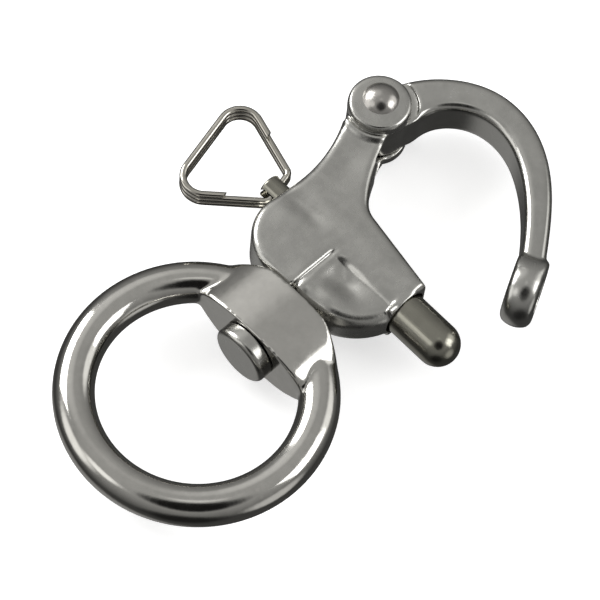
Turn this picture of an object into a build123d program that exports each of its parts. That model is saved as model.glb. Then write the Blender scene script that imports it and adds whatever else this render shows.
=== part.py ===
from build123d import *
import math
import os

# Swivel-eye snap shackle in cast and polished stainless steel, in millimetres.
# Origin: centre of the swivel eye. +Y runs along the load axis towards the bow,
# +X is the way the plunger points, +Z comes out of the upper face.
# It is modelled with the bow swung open and the plunger sprung out.

# Driving dimensions
EYE_RING_R = 19.2  # eye centre to wire centre
EYE_WIRE_R = 3.35
LATCH_Y = 33.8  # eye centre to plunger axis
HINGE_X = -16.1
HINGE_Y = 22.1  # above the plunger axis
OPEN_ANGLE = 26.8  # bow's swing away from the latched position
PLUNGER_R = 3.7
PLUNGER_TIP_X = 23.3
BARREL_END_X = 12.3  # face that the plunger comes out of
RUNNING_GAP = 0.05
FACE_GAP = 0.2  # between flat faces that slide past each other

# Body casting
BODY_HALF = 4.4
BODY_BOTTOM_Y = -12.0
PANEL_HALF = 3.5  # half thickness at the sunk lower corner
PANEL_LEFT_X = -2.2
PANEL_TOP_Y = 0.2
LOBE_R = 11.9
LOBE_CENTRE = (1.0, BODY_BOTTOM_Y + LOBE_R)
NECK_TOP_Y = 20.6
BARREL_R = 4.35
MOUTH_R = 3.95
MOUTH_DEPTH = 1.2
COLLAR_LENGTH = 1.2  # full-thickness rim left at the barrel's end
COLLAR_HALF_Y = 3.4
EDGE_ROUND = 1.3
LOBE_ROUND = 2.2

# Fork and hinge
EAR_R = 5.3
EAR_ROUND = 0.9
EAR_OUTER_HALF = 6.2
FORK_HALF = 3.8
HINGE_PIN_R = 2.3
HINGE_BORE_R = HINGE_PIN_R + RUNNING_GAP
RIVET_HEAD_R = 3.0
RIVET_HEAD_HEIGHT = 1.5
FORK_CLEAR_R = 6.4  # relief round the hinge for the bow's shoulder

# Bow
BOW_HALF = 4.0
BOW_EYE_R = 5.3
BOW_ROUND = 1.4
LUG_R = 5.9
LUG_X0 = 13.3
LUG_LENGTH = 5.2
LUG_HOLE_R = 4.05

# Plunger, spring and pull ring
STEM_R = 2.1
STEM_END_X = -19.2
SHOULDER_X = 3.0
CHAMBER_END_X = -13.9
SLOT_X = -17.2  # cross slot for the pull ring
SLOT_R = 1.4
SLOT_HALF_RUN = 0.7
SPRING_WIRE_R = 0.4
SPRING_R = 2.9
SPRING_TURNS = 7
NOTCH_X = -15.3
NOTCH_HALF_Y = 5.4
NOTCH_HALF_Z = 3.4
PULL_WIRE_R = 0.6
PULL_CIRCUMRADIUS = 13.1  # wire centre line, before its corners are rounded
PULL_CORNER_R = 3.4
PULL_BLUNT_R = 1.4
PULL_SKEW = 14.0
PULL_CENTRE = (-24.9, -1.2)
PULL_BLUNT = 5.4  # how much of the corner in the slot is cut off

# Swivel
SWIVEL_PIN_R = 2.2
SWIVEL_PIN_TOP_Y = -7.2
SWIVEL_HEAD_R = 5.1
SWIVEL_HEAD_LENGTH = 2.5
BOSS_TOP_Y = BODY_BOTTOM_Y - FACE_GAP
BOSS_BOTTOM_Y = -22.4
BOSS_HALF_X = 12.4
BOSS_HALF_Z = 5.9
SWIVEL_FLANGE_R = 2.8
SWIVEL_FLANGE_LENGTH = 1.4

HINGE = (HINGE_X, HINGE_Y)
EAR_CENTRE = (HINGE_X + 0.3, HINGE_Y - 0.5)  # the ears' discs, a little off the rivet
OVERSIZE = 60.0  # longer than anything it cuts


def cylinder_x(radius, x0, x1):
    """A solid cylinder on the plunger axis."""
    return Pos(x0, 0, 0) * Rot(0, 90, 0) * extrude(Circle(radius), x1 - x0)


def cylinder_y(radius, y0, y1, x=0.0):
    """A solid cylinder along the load axis."""
    return Pos(x, y1, 0) * Rot(90, 0, 0) * extrude(Circle(radius), y1 - y0)


def cylinder_z(radius, half, centre):
    """A solid cylinder along Z, centred on the middle plane."""
    return Pos(centre[0], centre[1], 0) * extrude(Circle(radius), half, both=True)


def slab(outline, half):
    """A plate of an outline, centred on the middle plane."""
    return extrude(make_face(outline), half, both=True)


def box_between(low, high):
    """A box from its lowest to its highest corner."""
    size = [b - a for a, b in zip(low, high)]
    middle = [(a + b) / 2 for a, b in zip(low, high)]
    return Pos(*middle) * Box(*size)


def polar(centre, radius, degrees):
    """A point on a circle."""
    angle = math.radians(degrees)
    return centre[0] + radius * math.cos(angle), centre[1] + radius * math.sin(angle)


def in_place(shape):
    """Moves a shape from the plunger axis to the eye's frame."""
    return Pos(0, LATCH_Y, 0) * shape


def swung_open(shape):
    """Turns a shape about the hinge from the latched to the open position."""
    return Pos(*HINGE, 0) * Rot(0, 0, OPEN_ANGLE) * Pos(-HINGE_X, -HINGE_Y, 0) * shape


def save(name, shape):
    """Writes one sub-part."""
    shape.label = name
    export_step(shape, f"parts/{name}.step")


def body_outline():
    """The casting's outline: round lobe, left bulge, waist and neck up to the ears."""
    bulge_start = (-7.5, BODY_BOTTOM_Y)
    bulge_end = (-15.6, -2.6)
    neck_left = (-21.2, NECK_TOP_Y)
    neck_right = (-10.9, NECK_TOP_Y)
    waist = (-2.0, 6.9)
    exit_high = (BARREL_END_X, 4.4)
    lobe_start = (LOBE_CENTRE[0], BODY_BOTTOM_Y)
    drop = math.sqrt(LOBE_R**2 - (BARREL_END_X - LOBE_CENTRE[0]) ** 2)
    exit_low = (BARREL_END_X, LOBE_CENTRE[1] - drop)
    lobe = TangentArc(lobe_start, exit_low, tangent=(1, 0))
    bottom = Line(lobe_start, bulge_start)
    bulge = TangentArc(bulge_start, bulge_end, tangent=(-1, 0))
    left = Spline(
        bulge_end, (-15.3, 7.0), (-17.2, 13.6), neck_left, tangents=[bulge % 1, (-0.6, 1)]
    )
    top = Line(neck_left, neck_right)
    shoulder = Line(waist, exit_high)
    right = Spline(
        neck_right, (-8.7, 14.1), (-5.1, 8.8), waist, tangents=[(0.15, -1), shoulder % 0]
    )
    end = Line(exit_high, exit_low)
    return lobe + bottom + bulge + left + top + right + shoulder + end


def rounded_plate():
    """The casting's plate at full thickness, with its rims rounded below the fork."""
    plate = slab(body_outline(), BODY_HALF)
    faces = plate.faces().sort_by(Axis.Z)
    rims = faces[0].edges() + faces[-1].edges()
    return fillet(rims.filter_by(lambda edge: edge.center().Y < NECK_TOP_Y), EDGE_ROUND)


def body():
    """The casting: plate with a sunk corner, barrel, fork, bores and notch for the pull ring."""
    corner = box_between(
        (PANEL_LEFT_X, -OVERSIZE, -OVERSIZE), (BARREL_END_X - COLLAR_LENGTH, PANEL_TOP_Y, OVERSIZE)
    )
    corner += box_between((0, -OVERSIZE, -OVERSIZE), (BARREL_END_X, -COLLAR_HALF_Y, OVERSIZE))
    lobe = cylinder_z(LOBE_R, PANEL_HALF, LOBE_CENTRE)
    lobe = fillet(lobe.edges().filter_by(GeomType.CIRCLE), LOBE_ROUND)
    plate = (rounded_plate() - corner) + (lobe & corner)
    ears = cylinder_z(EAR_R, EAR_OUTER_HALF, EAR_CENTRE)
    ears = fillet(ears.edges().filter_by(GeomType.CIRCLE), EAR_ROUND)
    barrel = cylinder_x(BARREL_R, PANEL_LEFT_X, BARREL_END_X)
    solid = plate + ears + barrel
    fork_gap = cylinder_z(FORK_CLEAR_R, FORK_HALF, HINGE)
    mouth_of_fork = Pos(HINGE_X, HINGE_Y, 0) * Rot(0, 0, -10) * box_between(
        (0, -FORK_CLEAR_R, -FORK_HALF), (OVERSIZE / 2, OVERSIZE / 2, FORK_HALF)
    )
    top_of_fork = box_between(
        (-OVERSIZE, HINGE_Y, -FORK_HALF), (OVERSIZE, OVERSIZE, FORK_HALF)
    )
    solid -= fork_gap + mouth_of_fork + top_of_fork
    solid -= cylinder_z(HINGE_BORE_R, OVERSIZE, HINGE)
    solid -= cylinder_x(PLUNGER_R + RUNNING_GAP, CHAMBER_END_X, BARREL_END_X + 5)
    solid -= cylinder_x(STEM_R + RUNNING_GAP, -OVERSIZE, 0)
    solid -= cylinder_x(MOUTH_R, BARREL_END_X - MOUTH_DEPTH, BARREL_END_X + 5)
    solid -= box_between(
        (-OVERSIZE, -NOTCH_HALF_Y, -NOTCH_HALF_Z), (NOTCH_X, NOTCH_HALF_Y, NOTCH_HALF_Z)
    )
    solid -= cylinder_y(SWIVEL_PIN_R, BODY_BOTTOM_Y - 5, SWIVEL_PIN_TOP_Y)
    solid -= cylinder_y(
        SWIVEL_FLANGE_R, SWIVEL_PIN_TOP_Y - SWIVEL_FLANGE_LENGTH, SWIVEL_PIN_TOP_Y
    )
    return solid


def bow_outline():
    """The bow latched: a thick crown over the fork that thins into the leg down to the lug."""
    foot_out = (LUG_X0 + LUG_LENGTH - 0.1, 1.5)
    foot_in = (LUG_X0 + 0.8, 1.5)
    root_high = (HINGE_X + 1.5, HINGE_Y + BOW_EYE_R)
    root_low = (HINGE_X + 6.9, HINGE_Y + 0.1)
    outer = Spline(
        root_high, (-6.6, 31.6), (1.0, 31.9), (8.0, 28.4), (13.0, 22.0), (16.2, 13.0), foot_out
    )
    inner = Spline(
        foot_in, (12.1, 11.4), (9.0, 18.9), (4.7, 24.2), (-0.5, 26.5), (-5.6, 25.7), root_low
    )
    foot = Line(foot_out, foot_in)
    root = Polyline(root_low, (HINGE_X + 4, HINGE_Y - 3), HINGE, root_high)
    return outer + foot + inner + root


def bow():
    """The hook: bar, hinge eye between the ears, and the lug that the plunger enters."""
    bar = slab(bow_outline(), BOW_HALF)
    rims = bar.faces().sort_by(Axis.Z)
    rim_edges = rims[0].edges() + rims[-1].edges()
    bar = fillet(rim_edges.filter_by(GeomType.BSPLINE), BOW_ROUND)
    relief = cylinder_z(FORK_CLEAR_R, OVERSIZE, HINGE)
    keep = cylinder_z(OVERSIZE, FORK_HALF - FACE_GAP, HINGE)
    bar -= relief - keep
    eye = cylinder_z(BOW_EYE_R, FORK_HALF - FACE_GAP, HINGE)
    lug = cylinder_x(LUG_R, LUG_X0, LUG_X0 + LUG_LENGTH)
    lug = fillet(lug.edges().filter_by(GeomType.CIRCLE), 0.8)
    solid = bar + eye + lug
    solid -= cylinder_z(HINGE_BORE_R, OVERSIZE, HINGE)
    solid -= cylinder_x(LUG_HOLE_R, LUG_X0 - 1, LUG_X0 + LUG_LENGTH + 1)
    return swung_open(solid)


def hinge_rivet():
    """The pin through the fork, closed by a domed head at each end."""
    solid = cylinder_z(HINGE_PIN_R, EAR_OUTER_HALF + RIVET_HEAD_HEIGHT / 3, HINGE)
    dome_r = (RIVET_HEAD_R**2 + RIVET_HEAD_HEIGHT**2) / (2 * RIVET_HEAD_HEIGHT)
    base_z = EAR_OUTER_HALF + 0.01  # just clear of the ear's face
    dome = Pos(*HINGE, base_z - dome_r + RIVET_HEAD_HEIGHT) * Sphere(dome_r)
    dome &= box_between((-OVERSIZE, -OVERSIZE, base_z), (OVERSIZE, OVERSIZE, OVERSIZE))
    return solid + dome + mirror(dome, about=Plane.XY)


def plunger():
    """The sprung latch pin: bullet nose, thin stem and the slot for the pull ring."""
    nose = cylinder_x(PLUNGER_R, SHOULDER_X, PLUNGER_TIP_X - PLUNGER_R)
    nose += Pos(PLUNGER_TIP_X - PLUNGER_R, 0, 0) * Sphere(PLUNGER_R)
    stem = cylinder_x(STEM_R, STEM_END_X, SHOULDER_X)
    stem = fillet(stem.edges().sort_by(Axis.X)[0], 0.4)
    slot = cylinder_y(SLOT_R, -5, 5, SLOT_X - SLOT_HALF_RUN)
    slot += cylinder_y(SLOT_R, -5, 5, SLOT_X + SLOT_HALF_RUN)
    slot += box_between(
        (SLOT_X - SLOT_HALF_RUN, -5, -SLOT_R), (SLOT_X + SLOT_HALF_RUN, 5, SLOT_R)
    )
    return nose + stem - slot


def plunger_spring():
    """The compression spring round the stem, inside the barrel."""
    length = SHOULDER_X - CHAMBER_END_X - 2 * SPRING_WIRE_R - 0.2
    start_x = CHAMBER_END_X + SPRING_WIRE_R + 0.1
    path = Helix(length / SPRING_TURNS, length, SPRING_R)
    section = Plane(origin=path @ 0, z_dir=path % 0) * Circle(SPRING_WIRE_R)
    coil = sweep(section, path=path, is_frenet=True)
    return Pos(start_x, 0, 0) * Rot(0, 90, 0) * coil


def pull_wire_path():
    """One turn of the pull ring: an equilateral triangle with one blunt corner."""
    top = polar((0, 0), PULL_CIRCUMRADIUS, 120)
    low = polar((0, 0), PULL_CIRCUMRADIUS, 240)
    blunt_x = PULL_CIRCUMRADIUS - PULL_BLUNT
    blunt_y = PULL_BLUNT * math.tan(math.radians(30))
    start = (blunt_x, blunt_y / 8)
    end = (blunt_x, -blunt_y / 8)
    corners = [start, (blunt_x, blunt_y), top, low, (blunt_x, -blunt_y), end]
    radii = [PULL_BLUNT_R, PULL_CORNER_R, PULL_CORNER_R, PULL_BLUNT_R]
    return FilletPolyline(*corners, radius=radii) + Line(end, start)


def pull_ring():
    """The triangular split ring: two stacked turns and the lapped end of a third."""
    path = pull_wire_path()
    section = Plane(origin=path @ 0, z_dir=path % 0) * Circle(PULL_WIRE_R)
    turn = sweep(section, path=path)
    pitch = 2 * PULL_WIRE_R - 0.06
    low_turn = Pos(0, 0, -pitch / 2) * turn
    high_turn = Pos(0, 0, pitch / 2) * turn
    lap_zone = box_between((-OVERSIZE, -9.6, -2), (1.5, OVERSIZE, 2))
    lap_zone += box_between((-OVERSIZE, -OVERSIZE, -2), (0.6, -9.5, 2))
    lapped_end = Pos(0, 0, pitch * 1.5) * (turn & lap_zone)
    ring = low_turn + high_turn + lapped_end
    return Pos(*PULL_CENTRE, 0) * Rot(0, 0, PULL_SKEW) * ring


def swivel_pin():
    """The swivel's headed pin: domed head in the eye, flanged end locked in the body."""
    head_y = BOSS_BOTTOM_Y - FACE_GAP
    head = cylinder_y(SWIVEL_HEAD_R, head_y - SWIVEL_HEAD_LENGTH, head_y)
    head = fillet(head.edges().filter_by(GeomType.CIRCLE).sort_by(Axis.Y)[0], 0.9)
    shank = cylinder_y(SWIVEL_PIN_R, head_y - 0.5, SWIVEL_PIN_TOP_Y)
    flange = cylinder_y(
        SWIVEL_FLANGE_R, SWIVEL_PIN_TOP_Y - SWIVEL_FLANGE_LENGTH, SWIVEL_PIN_TOP_Y
    )
    return head + shank + flange


def swivel_eye():
    """The eye: a round-wire ring with a saddle-shaped boss that the swivel pin goes through."""
    centre_y = -LATCH_Y
    ring = Pos(0, centre_y, 0) * Rot(0, 0, -90) * Torus(EYE_RING_R, EYE_WIRE_R)
    boss_height = BOSS_TOP_Y - BOSS_BOTTOM_Y
    boss = extrude(Ellipse(BOSS_HALF_X, BOSS_HALF_Z), boss_height)
    boss = Pos(0, BOSS_BOTTOM_Y, 0) * Rot(-90, 0, 0) * boss
    boss &= cylinder_z(EYE_RING_R + EYE_WIRE_R - 0.1, OVERSIZE, (0, centre_y))
    solid = ring + boss
    solid -= box_between((-OVERSIZE, BOSS_TOP_Y, -OVERSIZE), (OVERSIZE, OVERSIZE, OVERSIZE))
    solid -= cylinder_y(SWIVEL_PIN_R + RUNNING_GAP, BOSS_BOTTOM_Y - 3, BOSS_TOP_Y + 3)
    return solid


os.makedirs("parts", exist_ok=True)
save("body_casting", in_place(body()))
save("bow", in_place(bow()))
save("hinge_rivet", in_place(hinge_rivet()))
save("plunger", in_place(plunger()))
save("plunger_spring", in_place(plunger_spring()))
save("pull_ring", in_place(pull_ring()))
save("swivel_pin", in_place(swivel_pin()))
save("swivel_eye", in_place(swivel_eye()))
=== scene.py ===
import math

import bpy
from mathutils import Matrix, Vector


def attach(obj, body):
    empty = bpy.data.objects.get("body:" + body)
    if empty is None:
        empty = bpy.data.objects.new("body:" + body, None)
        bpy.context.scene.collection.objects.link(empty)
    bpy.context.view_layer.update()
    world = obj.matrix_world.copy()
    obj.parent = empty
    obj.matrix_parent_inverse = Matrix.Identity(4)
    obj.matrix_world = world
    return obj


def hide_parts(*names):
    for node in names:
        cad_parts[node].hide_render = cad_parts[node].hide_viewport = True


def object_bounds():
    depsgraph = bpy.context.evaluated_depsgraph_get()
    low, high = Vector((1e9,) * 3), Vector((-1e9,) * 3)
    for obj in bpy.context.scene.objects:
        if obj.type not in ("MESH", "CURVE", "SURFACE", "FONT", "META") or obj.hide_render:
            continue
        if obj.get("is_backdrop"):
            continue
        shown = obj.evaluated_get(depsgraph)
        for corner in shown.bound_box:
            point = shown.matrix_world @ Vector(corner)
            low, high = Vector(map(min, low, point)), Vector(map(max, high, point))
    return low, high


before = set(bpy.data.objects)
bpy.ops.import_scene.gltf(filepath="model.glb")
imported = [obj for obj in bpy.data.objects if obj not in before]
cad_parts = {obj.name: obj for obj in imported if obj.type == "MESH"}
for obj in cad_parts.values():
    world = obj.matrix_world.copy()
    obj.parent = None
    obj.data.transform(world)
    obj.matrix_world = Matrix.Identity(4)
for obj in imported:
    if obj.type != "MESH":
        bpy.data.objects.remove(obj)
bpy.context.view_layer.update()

MM = 0.001
LATCH_Y = 33.8  # plunger axis, from the eye's centre, in millimetres

# Places on the CAD shapes, in millimetres, with y from the plunger axis
HINGE = Vector((-16.1, 22.1))
EAR_CENTRE = HINGE + Vector((0.3, -0.5))
EAR_R = 5.3
PANEL_LEFT_X = -2.2  # the raised panel's edges, beside and above the sunk lobe
PANEL_TOP_Y = 0.2
BORE_R = 4.2  # past every wall round the plunger and its stem
BORE_PLAY = 0.15
LUG_CENTRE = Vector((22.42, 16.80, 0.0))
LUG_AXIS = Vector((0.8926, 0.4509, 0.0))
LEG_AXIS = Vector((-0.4509, 0.8926, 0.0))  # from the lug up the bow's leg
LUG_HALF = 2.6  # half the lug's length along its axis

# Casting meshes
FINE_VOXEL = 0.17
RING_VOXEL = 0.2
MELT_ROUNDS = 45
FINISH_ROUNDS = 4
LEAST_WEIGHT = 0.02

# Camera, in the row frame
CAMERA_LOCATION = Vector((0.13685, -0.143676, 0.42459))
CAMERA_RIGHT = Vector((0.69417, 0.71755, 0.05701))
CAMERA_UP = Vector((-0.65941, 0.60216, 0.45008))
CAMERA_BACK = Vector((0.28863, -0.35003, 0.89116))
LENS_MM = 180.0
SENSOR_MM = 36.0


def view_direction(right, up, back):
    """A direction in the row frame from its parts along the camera's own axes."""
    return (CAMERA_RIGHT * right + CAMERA_UP * up + CAMERA_BACK * back).normalized()


# ---------------------------------------------------------------- node helpers


class Graph:
    """A short way to add and join shader nodes."""

    def __init__(self, tree):
        self.tree = tree
        self.tree.nodes.clear()

    def add(self, kind, inputs=None, **properties):
        node = self.tree.nodes.new(kind)
        for name, value in properties.items():
            setattr(node, name, value)
        for key, value in (inputs or {}).items():
            if isinstance(value, bpy.types.NodeSocket):
                self.tree.links.new(value, node.inputs[key])
            else:
                node.inputs[key].default_value = value
        return node

    def math(self, operation, a, b=0.0):
        return self.add("ShaderNodeMath", {0: a, 1: b}, operation=operation).outputs[0]

    def spread(self, value, low, high, to_low, to_high, smooth=False):
        kind = "SMOOTHSTEP" if smooth else "LINEAR"
        inputs = {"Value": value, "From Min": low, "From Max": high,
                  "To Min": to_low, "To Max": to_high}
        return self.add("ShaderNodeMapRange", inputs, interpolation_type=kind).outputs["Result"]

    def noise(self, vector, scale, detail=3.0, roughness=0.55):
        inputs = {"Vector": vector, "Scale": scale, "Detail": detail, "Roughness": roughness}
        return self.add("ShaderNodeTexNoise", inputs).outputs[0]


def metal(name, colour, roughness, grain=0.0, waves=0.0, grain_size=0.35, brushed=None,
          edge_polish=0.0):
    """Stainless steel: patchy tone, uneven polish, casting grain and brushing, with its edges worn bright
    and its hollows darkened by painted shade.

    grain and waves are heights in millimetres, and brushed is the axis that the brushing runs along.
    """
    material = bpy.data.materials.new(name)
    material.use_nodes = True
    g = Graph(material.node_tree)
    place = g.add("ShaderNodeTexCoord").outputs["Object"]
    patches = g.noise(place, 180.0, 4.0)
    smudges = g.noise(place, 620.0, 5.0, 0.65)
    tone = g.math("ADD", g.spread(patches, 0.3, 0.7, 0.93, 1.04),
                  g.spread(smudges, 0.35, 0.65, -0.03, 0.03))
    rough = g.math("ADD", g.spread(patches, 0.3, 0.7, roughness * 0.8, roughness * 1.2),
                   g.spread(smudges, 0.3, 0.7, -roughness * 0.15, roughness * 0.25))
    edge = g.add("ShaderNodeNewGeometry").outputs["Pointiness"]
    worn = g.spread(edge, 0.505, 0.56, 0.0, 1.0, smooth=True)
    # painted shade: concave hollows and creases get a darker base colour
    hollow_shade = g.spread(edge, 0.44, 0.495, 1.0, 0.0, smooth=True)
    tone = g.math("ADD", tone, g.math("MULTIPLY", worn, 0.10 * edge_polish))
    tone = g.math("SUBTRACT", tone, g.math("MULTIPLY", hollow_shade, 0.22))
    rough = g.math("MULTIPLY", rough, g.math("SUBTRACT", 1.0, g.math("MULTIPLY", worn, 0.5 * edge_polish)))
    height = g.math("MULTIPLY", g.noise(place, 1000.0 / grain_size, 2.0), grain)
    height = g.math("ADD", height, g.math("MULTIPLY", g.noise(place, 260.0, 2.0), waves))
    if brushed:
        stretch = [3.0 if axis == brushed else 150.0 for axis in "XYZ"]
        along = g.add("ShaderNodeMapping", {"Vector": place, "Scale": stretch}).outputs[0]
        lines = g.noise(along, 45.0, 3.0, 0.7)
        height = g.math("ADD", height, g.math("MULTIPLY", lines, 0.012))
        rough = g.math("ADD", rough, g.spread(lines, 0.3, 0.7, -0.03, 0.05))
    bump = g.add("ShaderNodeBump", {"Height": height, "Strength": 1.0, "Distance": MM}).outputs["Normal"]
    shade = g.add("ShaderNodeCombineColor", {0: g.math("MULTIPLY", tone, colour[0]),
                                             1: g.math("MULTIPLY", tone, colour[1]),
                                             2: g.math("MULTIPLY", tone, colour[2])}).outputs[0]
    steel = g.add("ShaderNodeBsdfPrincipled", {"Base Color": shade, "Metallic": 1.0, "Roughness": rough,
                                               "Normal": bump})
    g.add("ShaderNodeOutputMaterial", {"Surface": steel.outputs[0]})
    return material


def dress(thing, material):
    """Gives every slot of an object one material."""
    if not thing.material_slots:
        thing.data.materials.append(material)
    for place in thing.material_slots:
        place.material = material


# ---------------------------------------------------------------- castings


def smooth_step(value, low, high):
    """0 below low, 1 above high, and a smooth ramp between."""
    t = min(max((value - low) / (high - low), 0.0), 1.0)
    return t * t * (3 - 2 * t)


def bell(value, middle, width):
    """A smooth bump of height 1."""
    return math.exp(-(((value - middle) / width) ** 2))


def baked(thing):
    """The object's mesh with its modifiers applied."""
    bpy.context.view_layer.update()
    mesh = bpy.data.meshes.new_from_object(thing.evaluated_get(bpy.context.evaluated_depsgraph_get()))
    thing.modifiers.clear()
    thing.data = mesh
    return mesh


def smooth(piece, iterations, group=""):
    """Adds a smoothing modifier, over the whole piece or one vertex group."""
    modifier = piece.modifiers.new("smooth", "SMOOTH")
    modifier.factor = 0.5
    modifier.iterations = iterations
    modifier.vertex_group = group


def casting(node, name, body, voxel, rounds, melt, sculpt=None):
    """A soft-edged casting that takes a CAD node's place.

    sculpt gives a vertex's move and melt how far its creases are rounded off, 0 to 1. Both take the
    vertex's place in millimetres, its y from the plunger axis, and its normal.
    """
    piece = bpy.data.objects.new(name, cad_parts[node].data.copy())
    bpy.context.scene.collection.objects.link(piece)
    weld = piece.modifiers.new("weld", "WELD")
    weld.merge_threshold = 1e-6
    remesh = piece.modifiers.new("remesh", "REMESH")
    remesh.mode = "VOXEL"
    remesh.voxel_size = voxel * MM
    remesh.use_smooth_shade = True
    smooth(piece, rounds)
    mesh = baked(piece)
    places = [vertex.co / MM - Vector((0.0, LATCH_Y, 0.0)) for vertex in mesh.vertices]
    normals = [vertex.normal.copy() for vertex in mesh.vertices]
    group = piece.vertex_groups.new(name="melted")
    for vertex, place, normal in zip(mesh.vertices, places, normals):
        weight = melt(place, normal)
        if weight > LEAST_WEIGHT:
            group.add([vertex.index], weight, "REPLACE")
        if sculpt:
            vertex.co += sculpt(place, normal) * MM
    smooth(piece, MELT_ROUNDS, group.name)
    smooth(piece, FINISH_ROUNDS)
    baked(piece)
    piece.data.shade_smooth()
    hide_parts(node)
    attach(piece, body)
    return piece


def body_relief(place, normal):
    """The forging's soft relief on both faces, and a little more room in the plunger's bore."""
    x, y, z = place
    from_axis = math.hypot(y, z)
    if from_axis < BORE_R and normal.y * y + normal.z * z < -0.5 * from_axis:
        return normal * -BORE_PLAY
    face = smooth_step(abs(normal.z), 0.55, 0.9)
    ridge = 0.12 * bell(y, 2.4, 1.8) * smooth_step(x, -15.0, -9.0)
    crease = -0.34 * bell(y, -0.3, 1.5) * smooth_step(-x, 4.5, 9.5) * smooth_step(x, -16.0, -12.5)
    ramp = 0.5 * bell(x, -1.2, 1.4) * smooth_step(x, -2.3, -1.9) * smooth_step(-y, 0.8, 2.4)
    dish = -0.65 * bell(x, 3.2, 2.6) * bell(y, -4.6, 1.9)
    dome = 0.65 * bell(x, 3.4, 4.2) * bell(y, -8.6, 2.2)
    left_panel = 0.16 * bell(x, -11.5, 2.4) * bell(y, -4.0, 2.6)
    neck = -0.25 * bell(x, -12.0, 2.6) * bell(y, 11.0, 4.0)
    away = (place.xy - EAR_CENTRE).length
    ear_foot = 0.75 * bell(away, EAR_R + 0.5, 0.8) * smooth_step(EAR_CENTRE.y - y, 1.5, 4.0)
    return normal * (face * (ridge + crease + ramp + dish + dome + left_panel + neck + ear_foot))


def body_melt(place, normal):
    """The soft step between the raised panel and the lobe, and the soft foot of the ear."""
    x, y, z = place
    face = smooth_step(abs(z), 2.5, 3.1)
    beside = bell(x, PANEL_LEFT_X, 1.7) * smooth_step(-y, -1.5, 0.0)
    above = bell(y, PANEL_TOP_Y, 1.7) * smooth_step(x, -4.0, PANEL_LEFT_X)
    away = (place.xy - EAR_CENTRE).length
    below_ear = bell(away, EAR_R + 0.3, 1.2) * smooth_step(EAR_CENTRE.y - y, 1.0, 3.0)
    return max(face * max(beside, above), below_ear * smooth_step(abs(normal.z), 0.0, 0.3))


def lug_crown(place, _normal):
    """The barrel-shaped outside of the bow's latch lug."""
    away = place - LUG_CENTRE
    along = away.dot(LUG_AXIS)
    radial = away - LUG_AXIS * along
    outside = smooth_step(radial.length, 4.1, 5.2) * smooth_step(-radial.length, -9.0, -6.5)
    free = smooth_step(-radial.normalized().dot(LEG_AXIS), -0.75, -0.1)
    near = smooth_step(-abs(along), -4.8, -3.1)
    amount = 0.9 * outside * free * min(abs(along) / LUG_HALF, 1.1) ** 2 * near
    return radial.normalized() * -amount


def lug_melt(place, _normal):
    """The soft meeting of the bow's leg and its lug."""
    away = place - LUG_CENTRE
    return bell((away - LEG_AXIS * 4.6).length, 0.0, 2.6)


def boss_melt(place, _normal):
    """The soft meeting of the ring and its flattened boss."""
    x, y, _ = place
    beside = smooth_step(abs(x), 7.0, 10.5) * smooth_step(-abs(x), -17.5, -14.5)
    return beside * smooth_step(y, -27.0, -24.0)


body_piece = casting("body_casting", "body_forging", "body", FINE_VOXEL, 8, body_melt, body_relief)
bow_piece = casting("bow", "bow_forging", "bow", FINE_VOXEL, 7, lug_melt, lug_crown)
eye_piece = casting("swivel_eye", "eye_forging", "eye", RING_VOXEL, 10, boss_melt)

# ---------------------------------------------------------------- finishes

satin = metal("satin_casting", (0.47, 0.465, 0.44), 0.25, grain=0.010, waves=0.030, edge_polish=1.0)
bow_satin = metal("satin_bow", (0.47, 0.465, 0.44), 0.21, grain=0.007, waves=0.022, edge_polish=1.0)
polished = metal("polished_eye", (0.52, 0.51, 0.48), 0.12, grain=0.003, waves=0.030, edge_polish=0.6)
pin_metal = metal("turned_plunger", (0.30, 0.292, 0.25), 0.17, waves=0.006, brushed="X")
rivet_metal = metal("peened_rivet", (0.46, 0.445, 0.42), 0.24, grain=0.010, waves=0.10, grain_size=0.6)
swivel_metal = metal("turned_swivel", (0.44, 0.435, 0.41), 0.19, grain=0.004, waves=0.020, brushed="Y")
wire = metal("nickel_wire", (0.50, 0.48, 0.43), 0.14, grain=0.003, waves=0.010)
spring_wire = metal("spring_wire", (0.50, 0.49, 0.46), 0.30, grain=0.004)

dress(body_piece, satin)
dress(bow_piece, bow_satin)
dress(eye_piece, polished)
dress(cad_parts["plunger"], pin_metal)
dress(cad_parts["hinge_rivet"], rivet_metal)
dress(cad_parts["swivel_pin"], swivel_metal)
dress(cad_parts["pull_ring"], wire)
dress(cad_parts["plunger_spring"], spring_wire)

# ---------------------------------------------------------------- floor, light and camera


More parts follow.
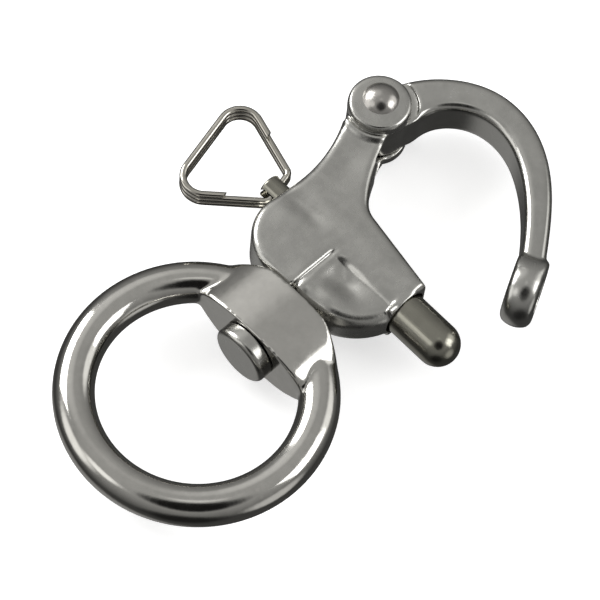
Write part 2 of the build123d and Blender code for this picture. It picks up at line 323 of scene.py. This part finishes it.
def floor():
    """A plain pale floor that the shackle lies on."""
    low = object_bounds()[0]
    side = 2.0
    corners = [(-side, -side, 0), (side, -side, 0), (side, side, 0), (-side, side, 0)]
    mesh = bpy.data.meshes.new("floor")
    mesh.from_pydata(corners, [], [(0, 1, 2, 3)])
    plane = bpy.data.objects.new("floor", mesh)
    plane.location.z = low[2]
    bpy.context.scene.collection.objects.link(plane)
    material = bpy.data.materials.new("pale_floor")
    material.use_nodes = True
    g = Graph(material.node_tree)
    mottle = g.noise(g.add("ShaderNodeTexCoord").outputs["Object"], 30.0)
    white = g.spread(mottle, 0.3, 0.7, 0.90, 0.92)
    colour = g.add("ShaderNodeCombineColor", {0: white, 1: white, 2: white}).outputs[0]
    paper = g.add("ShaderNodeBsdfPrincipled", {"Base Color": colour, "Roughness": 0.9,
                                               "Emission Color": (1.0, 1.0, 1.0, 1.0),
                                               "Emission Strength": 0.62})
    g.add("ShaderNodeOutputMaterial", {"Surface": paper.outputs[0]})
    mesh.materials.append(material)
    plane.visible_glossy = False  # the steel mirrors the darker room instead of the paper
    plane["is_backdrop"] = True


# Soft patches of the room: direction by the camera's axes, inner and outer radius in degrees, brightness
ROOM = [
    (view_direction(-0.25, 0.90, 0.40), 4, 26, 0.85),
    (view_direction(-0.62, 0.78, 0.05), 6, 15, 1.5),
    (view_direction(-0.95, 0.10, 0.35), 8, 24, 1.5),
    (view_direction(0.90, 0.38, 0.25), 8, 22, 1.4),
    (view_direction(-0.64, 0.05, 0.76), 4, 14, 1.6),
    (view_direction(0.08, 0.45, 0.89), 2, 7, 1.0),
    (view_direction(0.05, -0.14, 0.98), 16, 28, 0.012),
    (view_direction(-0.10, -1.00, 0.15), 10, 30, 0.02),
    (view_direction(0.75, -0.65, 0.15), 8, 24, 0.80),
    (view_direction(-0.50, -0.42, -0.75), 14, 34, 0.36),
]


def room():
    """A light tent: pale overhead, with soft boxes and the dark opening that the camera looks through."""
    world = bpy.data.worlds.new("light_tent")
    bpy.context.scene.world = world
    world.use_nodes = True
    g = Graph(world.node_tree)
    direction = g.add("ShaderNodeTexCoord").outputs["Generated"]
    height = g.add("ShaderNodeSeparateXYZ", {0: direction}).outputs["Z"]
    level = g.spread(height, -0.35, 0.9, 0.07, 0.52)
    for towards, inner, outer, strength in ROOM:
        dot = g.add("ShaderNodeVectorMath", {0: direction, 1: tuple(towards)}, operation="DOT_PRODUCT")
        edge = (math.cos(math.radians(outer)), math.cos(math.radians(inner)))
        share = g.spread(dot.outputs["Value"], edge[0], edge[1], 0.0, 1.0, smooth=True)
        kept = g.math("MULTIPLY", level, g.math("SUBTRACT", 1.0, share))
        level = g.math("ADD", kept, g.math("MULTIPLY", share, strength))
    sky = g.add("ShaderNodeBackground", {"Color": (1.0, 0.995, 0.98, 1.0), "Strength": level})
    g.add("ShaderNodeOutputWorld", {"Surface": sky.outputs[0]})


def soft_box(name, towards, distance, size, watts):
    """A square area light aimed at the middle of the object."""
    light = bpy.data.lights.new(name, "AREA")
    light.size = size
    light.energy = watts
    lamp = bpy.data.objects.new(name, light)
    lamp.matrix_world = Matrix.LocRotScale(towards * distance, towards.to_track_quat("Z", "Y"), None)
    bpy.context.scene.collection.objects.link(lamp)


def camera():
    """The camera, level with the view that the object is seen from."""
    lens = bpy.data.cameras.new("camera")
    lens.sensor_width = SENSOR_MM
    lens.lens = LENS_MM
    lens.clip_start = 0.01
    eye = bpy.data.objects.new("camera", lens)
    turn = Matrix((CAMERA_RIGHT, CAMERA_UP, CAMERA_BACK)).transposed().to_4x4()
    eye.matrix_world = Matrix.Translation(CAMERA_LOCATION) @ turn
    bpy.context.scene.collection.objects.link(eye)
    bpy.context.scene.camera = eye


floor()
room()
soft_box("key", view_direction(-0.65, 0.72, 0.2), 0.8, 0.45, 4.5)
soft_box("fill", view_direction(0.8, 0.1, 0.5), 0.9, 0.45, 2.0)
camera()
bpy.context.scene.view_settings.view_transform = "Standard"  # keeps the paper white
